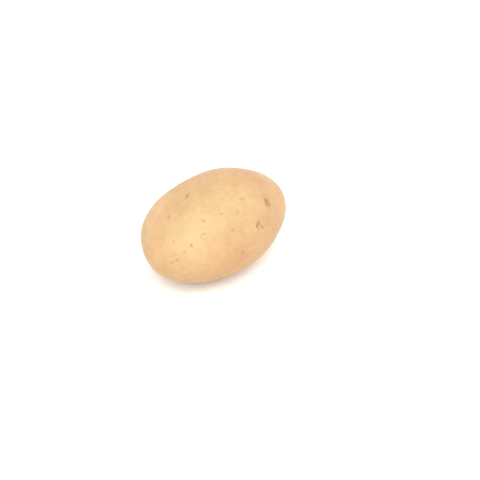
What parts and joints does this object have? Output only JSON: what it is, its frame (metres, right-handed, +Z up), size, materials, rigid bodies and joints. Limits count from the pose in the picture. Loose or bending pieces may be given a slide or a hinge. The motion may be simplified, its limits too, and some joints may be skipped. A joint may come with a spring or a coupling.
{
  "type": "potato",
  "caption": "Smooth oval yellow-skinned potato with shallow eyes and a stem scar, lying on a small flat spot; a loose vegetable for a kitchen, market stall or table.",
  "frame": {"origin": "on the resting surface, under the middle of the tuber's length and width", "axes": "+X along the length to the rose end, where the eyes crowd; +Z up from the flat spot; +Y across"},
  "size_m": [0.0898, 0.0612, 0.0542],
  "materials": {
    "skin": "washed, smooth and matt with a faint sheen; golden tan with fine brown specks"
  },
  "bodies": {
    "root": {"potato": "skin"}
  },
  "joints": []
}
